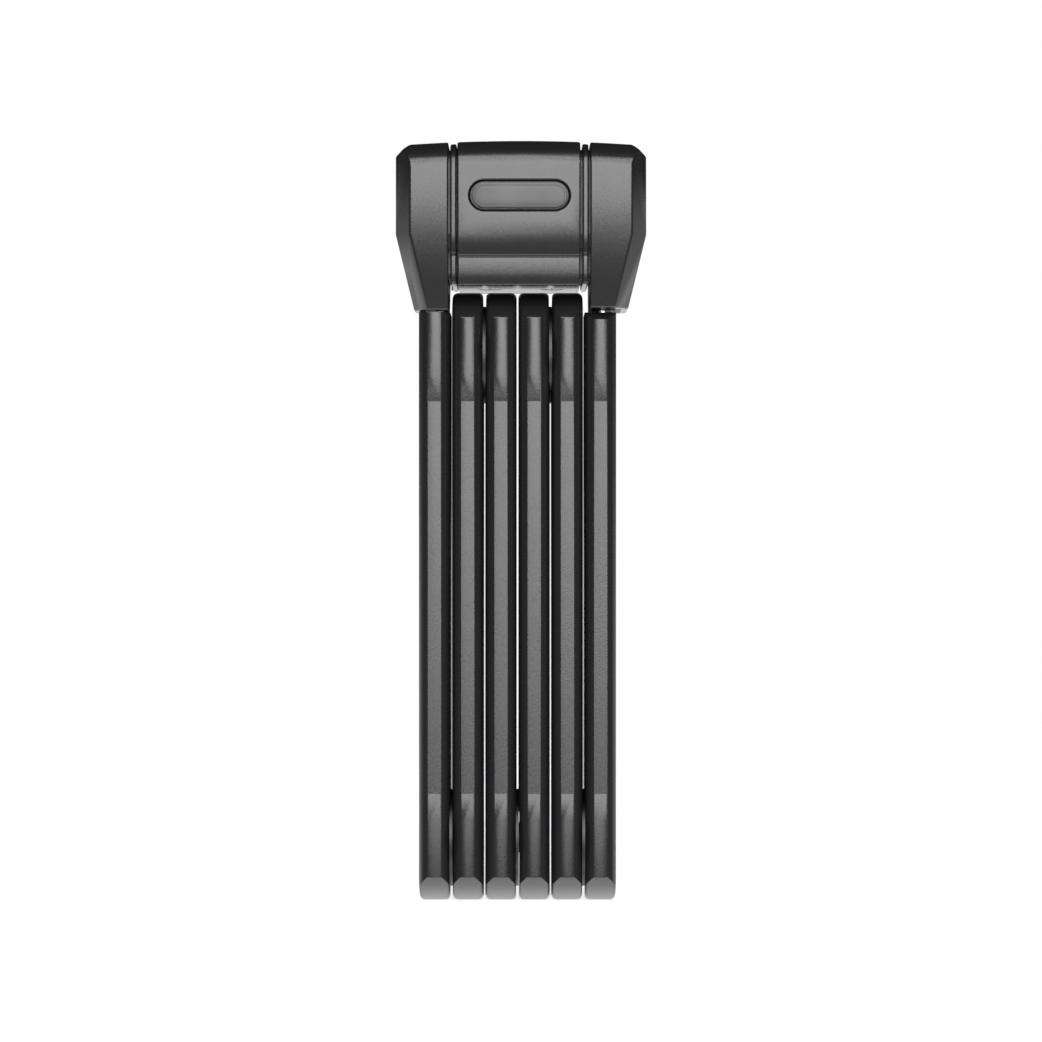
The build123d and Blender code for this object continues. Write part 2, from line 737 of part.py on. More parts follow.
with BuildPart() as lock_case:
    add(case_block.part)
    tilt_relief(relief_edge_x)
    tongue_slot()
    disc_cut(head_rivet_left_x, left_leg_x, head_pivot_z, head_rivet_radius)
    disc_cut(left_leg_x, head_rivet_spigot_end_x, head_pivot_z, head_rivet_spigot_radius)
    disc_cut(case_end_x - 1, housing_end_x + 2, cylinder_z, housing_radius)
    disc_cut(housing_end_x, cam_cavity_end_x, cylinder_z, cam_radius + open_play)
    disc_cut(
        cam_end_x,
        cam_end_x + crank_pin_length + open_play,
        cylinder_z,
        crank_offset + crank_pin_radius + open_play,
    )
    block(
        (bolt_left_x - open_play, -bolt_sweep, bolt_z - bolt_play),
        (bolt_right_x + open_play, bolt_sweep, bolt_top + bolt_play),
        mode=Mode.SUBTRACT,
    )
    block(
        (bolt_left_x - open_play, -lug_sweep, bolt_z - bolt_play),
        (bolt_left_x + lug_thickness + open_play, lug_sweep, lug_top_z + open_play),
        mode=Mode.SUBTRACT,
    )
    with Locations(Plane(origin=(spring_x, spring_start_y, bolt_z + bolt_thickness / 2), z_dir=(0, 1, 0))):
        Cylinder(
            spring_radius + 2 * spring_wire,
            far / 6,
            align=(Align.CENTER, Align.CENTER, Align.MIN),
            mode=Mode.SUBTRACT,
        )
    with Locations((pin_x, 0, (foot_z + pin_top_z) / 2)):
        Cylinder(pin_bore_radius, pin_top_z - foot_z + 1, mode=Mode.SUBTRACT)
    with Locations((pin_x, 0, (bush_bottom_z + bush_top_z) / 2)):
        Cylinder(bush_radius, bush_top_z - bush_bottom_z, mode=Mode.SUBTRACT)
    with Locations(Plane(origin=(housing_pin_x, 0, cylinder_z - housing_radius), z_dir=(0, 1, 0))):
        Cylinder(housing_pin_radius, far, mode=Mode.SUBTRACT)
    for x in (-sleeve_screw_x, sleeve_screw_x):
        with Locations((x, 0, centre_underside_z)):
            Cylinder(
                screw_radius,
                screw_length,
                align=(Align.CENTER, Align.CENTER, Align.MIN),
                mode=Mode.SUBTRACT,
            )
    for x in (-end_screw_x, end_screw_x):
        with Locations(Plane(origin=(x, head_half_depth, end_screw_z), z_dir=(0, -1, 0))):
            Cylinder(
                screw_radius,
                screw_length + 1,
                align=(Align.CENTER, Align.CENTER, Align.MIN),
                mode=Mode.SUBTRACT,
            )
save(lock_case, "lock_case")

with BuildPart() as head_rivet:
    disc_cut(head_rivet_left_x, left_leg_x, head_pivot_z, head_rivet_radius, mode=Mode.ADD)
    disc_cut(
        left_leg_x, head_rivet_spigot_end_x, head_pivot_z, head_rivet_spigot_radius, mode=Mode.ADD
    )
save(head_rivet, "head_rivet")

with BuildPart() as socket_bush:
    with Locations((pin_x, 0, (bush_bottom_z + bush_top_z) / 2)):
        Cylinder(bush_radius, bush_top_z - bush_bottom_z)
        Cylinder(pin_bore_radius, bush_top_z - bush_bottom_z, mode=Mode.SUBTRACT)
save(socket_bush, "socket_bush")

with BuildPart() as housing_pin:
    with Locations(Plane(origin=(housing_pin_x, 0, cylinder_z - housing_radius), z_dir=(0, 1, 0))):
        Cylinder(housing_pin_radius, 2 * (head_half_depth - cover_wall) - 1)
save(housing_pin, "housing_pin")


def screw(origin, direction):
    """Screw whose head sits just under the surface at origin; direction points out of the head."""
    seat = Plane(origin=origin, z_dir=direction)
    with Locations(seat.offset(-screw_head_height - 0.1)):
        Cylinder(
            screw_head_radius, screw_head_height, align=(Align.CENTER, Align.CENTER, Align.MIN)
        )
    with Locations(seat.offset(-screw_length)):
        Cylinder(
            screw_radius,
            screw_length - screw_head_height,
            align=(Align.CENTER, Align.CENTER, Align.MIN),
        )
    with Locations(seat.offset(-screw_head_height)):
        Box(
            0.5,
            3.2,
            1.0,
            align=(Align.CENTER, Align.CENTER, Align.MIN),
            mode=Mode.SUBTRACT,
        )


with BuildPart() as sleeve_screws:
    for x in (-sleeve_screw_x, sleeve_screw_x):
        screw((x, 0, centre_underside_z), (0, 0, -1))
save(sleeve_screws, "sleeve_screws")

with BuildPart() as end_screws:
    for x in (-end_screw_x, end_screw_x):
        screw((x, head_half_depth, end_screw_z), (0, 1, 0))
save(end_screws, "end_screws")


# --- Key cylinder -------------------------------------------------------------------------------------
with BuildPart() as cylinder_housing:
    disc_cut(case_end_x, housing_end_x, cylinder_z, housing_radius, mode=Mode.ADD)
    disc_cut(case_end_x, housing_end_x, cylinder_z, plug_radius + running_play)
    with Locations(Plane(origin=(housing_pin_x, 0, cylinder_z - housing_radius), z_dir=(0, 1, 0))):
        Cylinder(housing_pin_radius, far, mode=Mode.SUBTRACT)
save(cylinder_housing, "cylinder_housing")

plug_bore_start = case_end_x + plug_front_wall
plug_bore_end = plug_end_x - plug_back_wall
clip_x = housing_end_x + running_play * 2
clip_seat_radius = plug_radius - 0.8
sidebar_top = cylinder_z + plug_radius - 0.05

with BuildPart() as cylinder_plug:
    disc_cut(case_end_x, plug_end_x, cylinder_z, plug_radius, mode=Mode.ADD)
    disc_cut(plug_bore_start, plug_bore_end, cylinder_z, plug_bore_radius)
    block(
        (case_end_x - 1, -keyway_width / 2, cylinder_z - keyway_height / 2),
        (plug_bore_start + 1, keyway_width / 2, cylinder_z + keyway_height / 2),
        mode=Mode.SUBTRACT,
    )
    block(
        (plug_bore_start, -sidebar_width / 2, cylinder_z),
        (plug_bore_end, sidebar_width / 2, cylinder_z + far),
        mode=Mode.SUBTRACT,
    )
    with BuildSketch(side_plane(clip_x)):
        with Locations((0, cylinder_z)):
            Circle(plug_radius + 1)
            Circle(clip_seat_radius, mode=Mode.SUBTRACT)
    extrude(amount=clip_thickness, mode=Mode.SUBTRACT)
save(cylinder_plug, "cylinder_plug")

with BuildPart() as sidebar:
    block(
        (plug_bore_start, -sidebar_width / 2, sidebar_top - sidebar_height),
        (plug_bore_end, sidebar_width / 2, sidebar_top),
    )
save(sidebar, "sidebar")


def disc_stack(thickness, offset, hole):
    """Row of discs inside the plug; hole draws the opening in the middle of each."""
    pitch = disc_thickness + disc_spacer_thickness
    for step in range(disc_count):
        x = plug_bore_start + offset + step * pitch
        with BuildSketch(side_plane(x)) as disc:
            with Locations((0, cylinder_z)):
                Circle(plug_bore_radius)
                hole()
        extrude(disc.sketch, amount=thickness)


def keyway_hole():
    Rectangle(keyway_width, keyway_height, mode=Mode.SUBTRACT)


def spacer_hole():
    Circle(plug_bore_radius - 1.2, mode=Mode.SUBTRACT)


with BuildPart() as key_discs:
    disc_stack(disc_thickness, 0, keyway_hole)
    block(
        (plug_bore_start, -sidebar_width / 2, sidebar_top - sidebar_height),
        (plug_bore_end, sidebar_width / 2, sidebar_top),
        mode=Mode.SUBTRACT,
    )
save(key_discs, "key_discs")

with BuildPart() as disc_spacers:
    disc_stack(disc_spacer_thickness, disc_thickness, spacer_hole)
    block(
        (plug_bore_start, -sidebar_width / 2, sidebar_top - sidebar_height),
        (plug_bore_end, sidebar_width / 2, sidebar_top),
        mode=Mode.SUBTRACT,
    )
save(disc_spacers, "disc_spacers")

with BuildPart() as plug_clip:
    with BuildSketch(side_plane(clip_x)):
        with Locations((0, cylinder_z)):
            Circle(clip_seat_radius + 2.0)
            Circle(clip_seat_radius, mode=Mode.SUBTRACT)
        with Locations((0, cylinder_z - clip_seat_radius - 1)):
            Rectangle(4, 4, mode=Mode.SUBTRACT)
    extrude(amount=clip_thickness)
save(plug_clip, "plug_clip")

with BuildPart() as plug_cam:
    disc_cut(plug_end_x, cam_end_x, cylinder_z, cam_radius, mode=Mode.ADD)
    disc_cut(
        cam_end_x,
        cam_end_x + crank_pin_length,
        cylinder_z - crank_rise,
        crank_pin_radius,
        y=-crank_reach,
        mode=Mode.ADD,
    )
save(plug_cam, "plug_cam")


# --- Cross bolt and its spring ------------------------------------------------------------------------
crank_slot_play = 0.25
crank_slot_width = 2 * (crank_pin_radius + crank_slot_play)
crank_slot_top = cylinder_z - crank_rise + crank_pin_radius + 2 * crank_slot_play
crank_slot_bottom = cylinder_z - crank_offset - crank_pin_radius - 2 * crank_slot_play
slot_half = pin_groove_radius + 0.15

with BuildPart() as locking_bolt:
    block(
        (bolt_left_x, -crank_reach - bolt_half_width, bolt_z),
        (bolt_right_x, -crank_reach + bolt_half_width, bolt_top),
    )
    block(
        (bolt_left_x, -crank_reach - lug_half_width, bolt_z),
        (bolt_left_x + lug_thickness, -crank_reach + lug_half_width, lug_top_z),
    )
    with BuildSketch(side_plane(bolt_left_x)):
        with Locations((-crank_reach, (crank_slot_bottom + crank_slot_top) / 2)):
            SlotOverall(crank_slot_top - crank_slot_bottom, crank_slot_width, rotation=90)
    extrude(amount=lug_thickness, mode=Mode.SUBTRACT)
    with BuildSketch(Plane.XY.offset(bolt_z)):
        with Locations((pin_x, 0)):
            Circle(pin_radius + open_play)
        with Locations((pin_x, -bolt_travel / 2)):
            SlotCenterToCenter(bolt_travel, 2 * slot_half, rotation=90)
    extrude(amount=bolt_thickness, mode=Mode.SUBTRACT)
save(locking_bolt, "locking_bolt")

spring_length = spring_end_y - spring_start_y
coil_height = spring_length - 2 * spring_wire
with BuildPart() as bolt_spring:
    with BuildLine() as coil:
        Helix(
            pitch=coil_height / spring_turns,
            height=coil_height,
            radius=spring_radius,
            center=(spring_x, spring_start_y + spring_wire, bolt_z + bolt_thickness / 2),
            direction=(0, 1, 0),
        )
    with BuildSketch(Plane(origin=coil.line @ 0, z_dir=coil.line % 0)):
        Circle(spring_wire)
    sweep(is_frenet=True)
save(bolt_spring, "bolt_spring")


# --- Keyhole shutter ----------------------------------------------------------------------------------
flange_x = skin_x - shutter_play / 2
shutter_face_x = outer_end_x + 0.1

with BuildPart() as keyhole_shutter:
    block(
        (flange_x - shutter_flange_thickness, -shutter_half_length, cylinder_z - flange_half),
        (flange_x, shutter_half_length, cylinder_z + flange_half),
    )
    block(
        (shutter_face_x, -shutter_half_length, cylinder_z - shutter_half_height),
        (flange_x, shutter_half_length, cylinder_z + shutter_half_height),
    )
    for y in (-1.2, 0, 1.2):
        block(
            (shutter_face_x - 1, y - 0.3, cylinder_z - shutter_half_height / 2),
            (shutter_face_x + 0.3, y + 0.3, cylinder_z + shutter_half_height / 2),
            mode=Mode.SUBTRACT,
        )
save(keyhole_shutter, "keyhole_shutter")

print(f"first link, rivet to head pivot: {head_pivot_z - joint_z[1]:.2f}")
print(f"bolt travel {bolt_travel:.4f}, per degree of plug turn {bolt_travel / plug_turn:.5f}")
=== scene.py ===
"""Finishes of the folding lock: moulded covers, badge, rivets, locking pin, materials and a small studio."""

import json
import math

import bpy
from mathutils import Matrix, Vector

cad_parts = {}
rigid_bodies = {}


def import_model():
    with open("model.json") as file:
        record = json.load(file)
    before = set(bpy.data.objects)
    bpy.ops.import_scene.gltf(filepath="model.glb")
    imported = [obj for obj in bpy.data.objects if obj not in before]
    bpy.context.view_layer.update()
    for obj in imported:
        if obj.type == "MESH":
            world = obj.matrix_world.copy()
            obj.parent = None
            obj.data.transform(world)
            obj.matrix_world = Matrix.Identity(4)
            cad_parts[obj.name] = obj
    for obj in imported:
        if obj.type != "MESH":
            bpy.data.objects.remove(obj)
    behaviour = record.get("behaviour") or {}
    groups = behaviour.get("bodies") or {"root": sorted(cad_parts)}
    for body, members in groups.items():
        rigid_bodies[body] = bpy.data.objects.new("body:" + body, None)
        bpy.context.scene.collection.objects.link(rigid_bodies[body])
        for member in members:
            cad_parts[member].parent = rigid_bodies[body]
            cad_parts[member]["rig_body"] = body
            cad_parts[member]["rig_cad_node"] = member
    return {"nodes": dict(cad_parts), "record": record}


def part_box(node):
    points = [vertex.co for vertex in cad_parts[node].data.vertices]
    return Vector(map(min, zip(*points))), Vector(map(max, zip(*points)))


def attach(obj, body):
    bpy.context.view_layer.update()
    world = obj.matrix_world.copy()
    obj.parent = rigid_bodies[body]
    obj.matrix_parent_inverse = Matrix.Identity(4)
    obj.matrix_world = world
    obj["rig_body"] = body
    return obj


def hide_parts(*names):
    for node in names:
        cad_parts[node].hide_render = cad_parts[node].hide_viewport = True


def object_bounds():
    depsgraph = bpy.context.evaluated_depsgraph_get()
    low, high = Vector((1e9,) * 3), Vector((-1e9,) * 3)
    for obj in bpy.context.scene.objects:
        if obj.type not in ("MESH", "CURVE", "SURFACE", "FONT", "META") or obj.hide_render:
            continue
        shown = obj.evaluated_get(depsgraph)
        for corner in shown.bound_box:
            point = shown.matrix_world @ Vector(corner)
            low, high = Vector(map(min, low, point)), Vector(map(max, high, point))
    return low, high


bl_info = {
    "name": "Folding lock finishes",
    "version": (1, 0, 0),
    "blender": (4, 5, 0),
    "location": "View3D > Sidebar > Folding lock",
    "description": "Finishes the pieces of a folding lock and sets up a plain studio",
    "category": "Object",
}

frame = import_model()
cad_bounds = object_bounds()

MM = 0.001
BODY_OF = {
    node: body for body, nodes in frame["record"]["behaviour"]["bodies"].items() for node in nodes
}
SLOT_OF = {s["node"]: s["material_slot"] for s in frame["record"]["subparts"]}
LINKS = sorted(node for node in BODY_OF if node.startswith("link_") and node.endswith("_cover"))
RIVETS = sorted(node for node in BODY_OF if node.startswith("rivet_"))
HEAD_COVERS = ("centre_cover", "left_end_cover", "right_end_cover", "left_collar", "right_collar")

SHARP_RIDGE = math.radians(24)
HEAD_RIDGE = math.radians(38)
SMOOTH_BELOW = math.radians(35)
BADGE_SMOOTH_BELOW = math.radians(30)
MERGE_DISTANCE = 0.03 * MM
FLAT_WITHIN = math.radians(0.4)

SHANK_SHARE = 0.64
RIVET_HEAD_DEPTH = 1.1 * MM
# Width and rise, in mm, of the rings of a rivet's head from its rim inwards
RIVET_RINGS = ((0.9, 0.0), (0.12, -0.18), (1.3, 0.0), (0.5, -0.3))


# --- Settings -----------------------------------------------------------------------------------------
class LockEdges(bpy.types.PropertyGroup):
    head_edge: bpy.props.FloatProperty(
        name="Head edges", description="Radius left by the mould on the head covers' edges",
        default=0.45 * MM, min=0.0, unit="LENGTH",
    )
    metal_edge: bpy.props.FloatProperty(
        name="Metal edges", description="Broken edge on pins and small metal pieces",
        default=0.12 * MM, min=0.0, unit="LENGTH",
    )


class LockPlastic(bpy.types.PropertyGroup):
    colour: bpy.props.FloatVectorProperty(
        name="Charcoal", description="Colour of the moulded covers", subtype="COLOR",
        default=(0.009, 0.0092, 0.0098), min=0.0, max=1.0,
    )
    collar_colour: bpy.props.FloatVectorProperty(
        name="Collar", description="Colour of the narrow collar strips", subtype="COLOR",
        default=(0.0075, 0.0075, 0.008), min=0.0, max=1.0,
    )
    roughness: bpy.props.FloatProperty(
        name="Roughness", description="Sheen of the grained plastic", default=0.27, min=0.0, max=1.0,
    )
    grain: bpy.props.FloatProperty(
        name="Grain size", description="Width of one grain of the etched texture",
        default=0.34 * MM, min=0.01 * MM, unit="LENGTH",
    )


class LockBadge(bpy.types.PropertyGroup):
    rim: bpy.props.FloatProperty(
        name="Rim width", description="Width of the badge's raised rim", default=0.55 * MM, unit="LENGTH",
    )
    step: bpy.props.FloatProperty(
        name="Rim height", description="Height of the rim over the badge's field", default=0.16 * MM,
        unit="LENGTH",
    )
    dome: bpy.props.FloatProperty(
        name="Dome", description="How far the middle of the field swells", default=0.18 * MM, unit="LENGTH",
    )


class LockStudio(bpy.types.PropertyGroup):
    camera_distance: bpy.props.FloatProperty(
        name="Camera distance", description="From the camera to the head's front", default=0.872,
        unit="LENGTH",
    )
    camera_height: bpy.props.FloatProperty(
        name="Camera height", description="Height of the camera over the floor", default=0.0986,
        unit="LENGTH",
    )
    lens: bpy.props.FloatProperty(
        name="Lens", description="Focal length in millimetres", default=118.2, min=1.0,
    )
    front_light: bpy.props.FloatProperty(
        name="Front light", description="Brightness of the large light behind the camera", default=7.8,
        min=0.0,
    )
    band_light: bpy.props.FloatProperty(
        name="Band light", description="Brightness of the long light above the camera", default=8.5,
        min=0.0,
    )
    floor_glow: bpy.props.FloatProperty(
        name="Floor glow", description="Brightness of the lit floor under the lock", default=3.2, min=0.0,
    )
    front_floor_glow: bpy.props.FloatProperty(
        name="Front floor", description="Brightness of the floor before the lock", default=0.25, min=0.0,
    )
    back_floor_glow: bpy.props.FloatProperty(
        name="Back floor", description="Brightness of the floor behind the lock", default=1.3, min=0.0,
    )
    room_glow: bpy.props.FloatProperty(
        name="Room glow", description="Brightness of the dim room above the floor", default=0.03, min=0.0,
    )


# --- Shader building ------------------------------------------------------------------------------------
class Number:
    """A socket that carries a number, so that shader maths reads as an expression."""

    def __init__(self, shader, socket):
        self.shader = shader
        self.socket = socket

    def maths(self, operation, *values):
        return self.shader.node("ShaderNodeMath", {"operation": operation}, dict(enumerate(values)))

    def __add__(self, other):
        return self.maths("ADD", self, other)

    def __sub__(self, other):
        return self.maths("SUBTRACT", self, other)

    def __mul__(self, other):
        return self.maths("MULTIPLY", self, other)

    def __pow__(self, other):
        return self.maths("POWER", self, other)

    def __radd__(self, other):
        return self.maths("ADD", other, self)

    def __rsub__(self, other):
        return self.maths("SUBTRACT", other, self)

    def __rmul__(self, other):
        return self.maths("MULTIPLY", other, self)

    def sine(self):
        return self.maths("SINE", self)


class Graph:
    """The nodes of one material or world."""

    def __init__(self, owner, coordinates):
        owner.use_nodes = True
        self.tree = owner.node_tree
        self.place = self.node("ShaderNodeTexCoord", {}, {}, coordinates)

    def node(self, kind, settings, inputs, output=0):
        """Add a node: its settings first, then the values or links of its sockets."""
        made = self.tree.nodes.new(kind)
        for key, value in settings.items():
            setattr(made, key, value)
        for key, value in inputs.items():
            self.feed(made.inputs[key], value)
        return Number(self, made.outputs[output])

    def feed(self, socket, value):
        if isinstance(value, Number):
            self.tree.links.new(value.socket, socket)
        else:
            socket.default_value = value

    def axes(self, centre=(0.0, 0.0, 0.0)):
        """Distances from a centre along X, Y and Z."""
        moved = self.node(
            "ShaderNodeVectorMath", {"operation": "SUBTRACT"}, {0: self.place, 1: centre}, "Vector"
        )
        split = self.node("ShaderNodeSeparateXYZ", {}, {"Vector": moved}).socket.node
        return [Number(self, socket) for socket in split.outputs]

    def step(self, value, low, high):
        """From 0 to 1, smoothly, as a value goes from low to high."""
        inputs = {"Value": value, "From Min": low, "From Max": high}
        return self.node("ShaderNodeMapRange", {"interpolation_type": "SMOOTHSTEP"}, inputs, "Result")


class Shader(Graph):
    """One material and the nodes that make it."""

    def __init__(self, name):
        self.material = bpy.data.materials.new(name)
        super().__init__(self.material, "Object")
        self.surface = self.tree.nodes["Principled BSDF"]

    def finish(self, **inputs):
        """Feed the surface's own sockets, named with underscores for spaces."""
        for key, value in inputs.items():
            self.feed(self.surface.inputs[key.replace("_", " ")], value)
        return self.material

    def noise(self, size, detail=2.0, roughness=0.5):
        """Cloudy pattern from 0 to 1 whose features are about size wide."""
        inputs = {"Vector": self.place, "Scale": 1.0 / size, "Detail": detail, "Roughness": roughness}
        return self.node("ShaderNodeTexNoise", {}, inputs, "Fac")

    def cells(self, size, feature="SMOOTH_F1"):
        """Cellular pattern, dark in the middle of each cell."""
        settings = {"feature": feature, "voronoi_dimensions": "3D"}
        inputs = {"Vector": self.place, "Scale": 1.0 / size}
        return self.node("ShaderNodeTexVoronoi", settings, inputs, "Distance")

    def tint(self, factor, low, high):
        """Colour between two colours."""
        inputs = {0: factor, 6: (*low, 1.0), 7: (*high, 1.0)}
        return self.node("ShaderNodeMix", {"data_type": "RGBA"}, inputs, 2)

    def bump(self, height, depth, strength=1.0):
        """Normal from a height pattern whose full swing is depth."""
        inputs = {"Height": height, "Distance": depth, "Strength": strength}
        return self.node("ShaderNodeBump", {}, inputs, "Normal")


def shade_of(colour, factor):
    return tuple(min(1.0, c * factor) for c in colour)


# --- Finishes -------------------------------------------------------------------------------------------
def etched_plastic(name, colour, roughness, grain):
    """Charcoal plastic from an etched mould: fine grain, faint flow clouds and slight changes of sheen."""
    shader = Shader(name)
    etched = shader.cells(grain)
    fine = shader.noise(grain * 0.45, detail=3.0)
    clouds = shader.noise(28 * MM, detail=3.0, roughness=0.6)
    handling = shader.noise(7 * MM, detail=4.0, roughness=0.65)
    height = etched * 0.6 + fine * 0.4
    base = shader.tint(clouds * 0.6 + fine * 0.4, shade_of(colour, 0.8), shade_of(colour, 1.22))
    sheen = roughness + (handling - 0.5) * 0.07 + (fine - 0.5) * 0.05
    return shader.finish(
        Base_Color=base,
        Roughness=sheen,
        Normal=shader.bump(height, 0.025 * MM, strength=0.8),
    )


def smooth_plastic(name, colour, roughness):
    """Glossier plastic of small pieces, with faint clouds and hairline scuffs."""
    shader = Shader(name)
    clouds = shader.noise(9 * MM, detail=3.0)
    fine = shader.noise(0.3 * MM, detail=2.0)
    base = shader.tint(clouds, shade_of(colour, 0.82), shade_of(colour, 1.2))
    return shader.finish(
        Base_Color=base,
        Roughness=roughness + (clouds - 0.5) * 0.15 + (fine - 0.5) * 0.1,
        Normal=shader.bump(fine, 0.012 * MM, strength=0.5),
    )


def turned_metal(name, colour, roughness, centre, axis, pitch):
    """Metal turned on a lathe: fine rings about an axis through centre, with small changes of tone."""
    shader = Shader(name)
    turns = math.tau / pitch
    distances = shader.axes(centre)
    along = distances.pop("XYZ".index(axis))
    reach = (distances[0] * distances[0] + distances[1] * distances[1]) ** 0.5
    rings = (reach * turns).sine()
    length_rings = (along * turns).sine()
    stain = shader.noise(3.5 * MM, detail=4.0, roughness=0.6)
    base = shader.tint(stain, shade_of(colour, 0.78), shade_of(colour, 1.1))
    return shader.finish(
        Base_Color=base,
        Metallic=1.0,
        Roughness=roughness + (stain - 0.5) * 0.2,
        Normal=shader.bump(rings * 0.5 + length_rings * 0.5, 0.004 * MM, strength=0.4),
    )


def polished_chrome(name, colour):
    """Hard chrome with faint polishing haze."""
    shader = Shader(name)
    haze = shader.noise(2.2 * MM, detail=4.0, roughness=0.7)
    micro = shader.noise(0.25 * MM, detail=2.0)
    return shader.finish(
        Base_Color=shader.tint(haze, shade_of(colour, 0.92), colour),
        Metallic=1.0,
        Roughness=0.08 + haze * 0.1,
        Normal=shader.bump(micro, 0.003 * MM, strength=0.3),
    )


def rolled_steel(name, colour):
    """Hardened bar steel with long rolling marks and a bluish heat tint in patches."""
    shader = Shader(name)
    across, depth, along = shader.axes()
    streaks = shader.node(
        "ShaderNodeCombineXYZ", {}, {"X": across * 900.0, "Y": depth * 900.0, "Z": along * 40.0}, "Vector"
    )
    marks = shader.node("ShaderNodeTexNoise", {}, {"Vector": streaks, "Scale": 1.0, "Detail": 4.0}, "Fac")
    heat = shader.noise(14 * MM, detail=3.0)
    base = shader.tint(marks * 0.6 + heat * 0.4, shade_of(colour, 0.7), shade_of(colour, 1.15))
    return shader.finish(
        Base_Color=base,
        Metallic=1.0,
        Roughness=0.3 + marks * 0.2,
        Normal=shader.bump(marks, 0.01 * MM, strength=0.5),
    )


def cast_alloy(name, colour):
    """Blackened zinc casting: orange-peel skin with dull patches."""
    shader = Shader(name)
    skin = shader.noise(0.8 * MM, detail=5.0, roughness=0.7)
    patches = shader.noise(6 * MM, detail=3.0)
    return shader.finish(
        Base_Color=shader.tint(patches, shade_of(colour, 0.7), shade_of(colour, 1.3)),
        Metallic=0.9,
        Roughness=0.5 + (patches - 0.5) * 0.25,
        Normal=shader.bump(skin, 0.06 * MM, strength=0.6),
    )


def record_colour(slot):
    """The record's colour for a material slot."""
    return tuple(next(m["base_color"][:3] for m in frame["record"]["materials"] if m["slot"] == slot))


def middle(node):
    """Centre of a CAD node's box."""
    low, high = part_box(node)
    return (low + high) / 2


def make_finishes(plastic):
    """One material for every slot of the record."""
    pivot = middle("rivet_1_2")
    plug = middle("cylinder_plug")
    colour = tuple(plastic.colour)
    return {
        "link_plastic": etched_plastic("link_plastic", colour, plastic.roughness, plastic.grain),
        "head_plastic": etched_plastic("head_plastic", colour, plastic.roughness, plastic.grain * 0.9),
        "collar_plastic": etched_plastic(
            "collar_plastic", tuple(plastic.collar_colour), plastic.roughness, plastic.grain
        ),
        "badge_plastic": smooth_plastic("badge_plastic", shade_of(colour, 1.25), 0.34),
        "spacer_plastic": smooth_plastic("spacer_plastic", shade_of(colour, 0.4), 0.45),
        "shutter_plastic": smooth_plastic("shutter_plastic", shade_of(colour, 0.8), 0.38),
        "rivet_steel": turned_metal(
            "rivet_steel", record_colour("rivet_steel"), 0.35, (0.0, pivot.y, pivot.z), "X", 0.35 * MM
        ),
        "screw_steel": smooth_plastic("screw_steel", shade_of(record_colour("screw_steel"), 0.3), 0.3),
        "pin_chrome": polished_chrome("pin_chrome", record_colour("pin_chrome")),
        "hardened_steel": rolled_steel("hardened_steel", record_colour("hardened_steel")),
        "case_metal": cast_alloy("case_metal", shade_of(record_colour("case_metal"), 0.5)),
        "spring_steel": polished_chrome("spring_steel", record_colour("spring_steel")),
        "brass": turned_metal("brass", record_colour("brass"), 0.25, tuple(plug), "X", 0.3 * MM),
    }


# --- Mesh work ------------------------------------------------------------------------------------------
def deselect_everything():
    if bpy.context.object and bpy.context.object.mode != "OBJECT":
        bpy.ops.object.mode_set(mode="OBJECT")
    bpy.ops.object.select_all(action="DESELECT")


def make_active(piece):
    deselect_everything()
    piece.select_set(True)
    bpy.context.view_layer.objects.active = piece


def select_faces(piece, wanted):
    """In edit mode, select just the faces for which wanted(face) is true."""
    bpy.ops.mesh.select_mode(type="FACE")
    bpy.ops.mesh.select_all(action="DESELECT")
    bpy.ops.object.mode_set(mode="OBJECT")
    for face in piece.data.polygons:
        face.select = wanted(face)
    bpy.ops.object.mode_set(mode="EDIT")


def select_vertices(piece, wanted):
    """In edit mode, select just the vertices whose place makes wanted(place) true."""
    bpy.ops.mesh.select_mode(type="VERT")
    bpy.ops.mesh.select_all(action="DESELECT")
    bpy.ops.object.mode_set(mode="OBJECT")
    for vertex in piece.data.vertices:
        vertex.select = wanted(vertex.co)
    bpy.ops.object.mode_set(mode="EDIT")


def add_modifier(piece, kind, **settings):
    """Add a modifier with its settings and apply it."""
    modifier = piece.modifiers.new(kind.title(), kind)
    for key, value in settings.items():
        setattr(modifier, key, value)
    bpy.ops.object.modifier_apply(modifier=modifier.name)


def shade_smoothly(piece):
    """Shade rounded faces smoothly, keep flat faces flat and leave sharper ridges crisp."""
    bpy.ops.object.shade_smooth_by_angle(angle=SMOOTH_BELOW)
    add_modifier(piece, "WEIGHTED_NORMAL", keep_sharp=True, weight=80, mode="FACE_AREA")


def soften(piece, radius, angle=SHARP_RIDGE):
    """Round a piece's ridges sharper than an angle, and shade it smoothly."""
    make_active(piece)
    add_modifier(
        piece, "BEVEL", width=radius, segments=3, limit_method="ANGLE", angle_limit=angle,
        use_clamp_overlap=False, miter_outer="MITER_ARC", loop_slide=False,
    )
    shade_smoothly(piece)


def merged_copy(node, name):
    """Copy of a CAD node with its loose triangles merged into whole flat faces."""
    piece = frame["nodes"][node].copy()
    piece.data = piece.data.copy()
    piece.parent = None
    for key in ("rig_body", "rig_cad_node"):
        del piece[key]
    piece.name = name
    piece.data.name = name
    bpy.context.scene.collection.objects.link(piece)
    make_active(piece)
    bpy.ops.object.mode_set(mode="EDIT")
    bpy.ops.mesh.select_all(action="SELECT")
    bpy.ops.mesh.customdata_custom_splitnormals_clear()
    bpy.ops.mesh.remove_doubles(threshold=MERGE_DISTANCE)
    bpy.ops.mesh.dissolve_limited(angle_limit=FLAT_WITHIN, use_dissolve_boundaries=False)
    bpy.ops.object.mode_set(mode="OBJECT")
    return piece


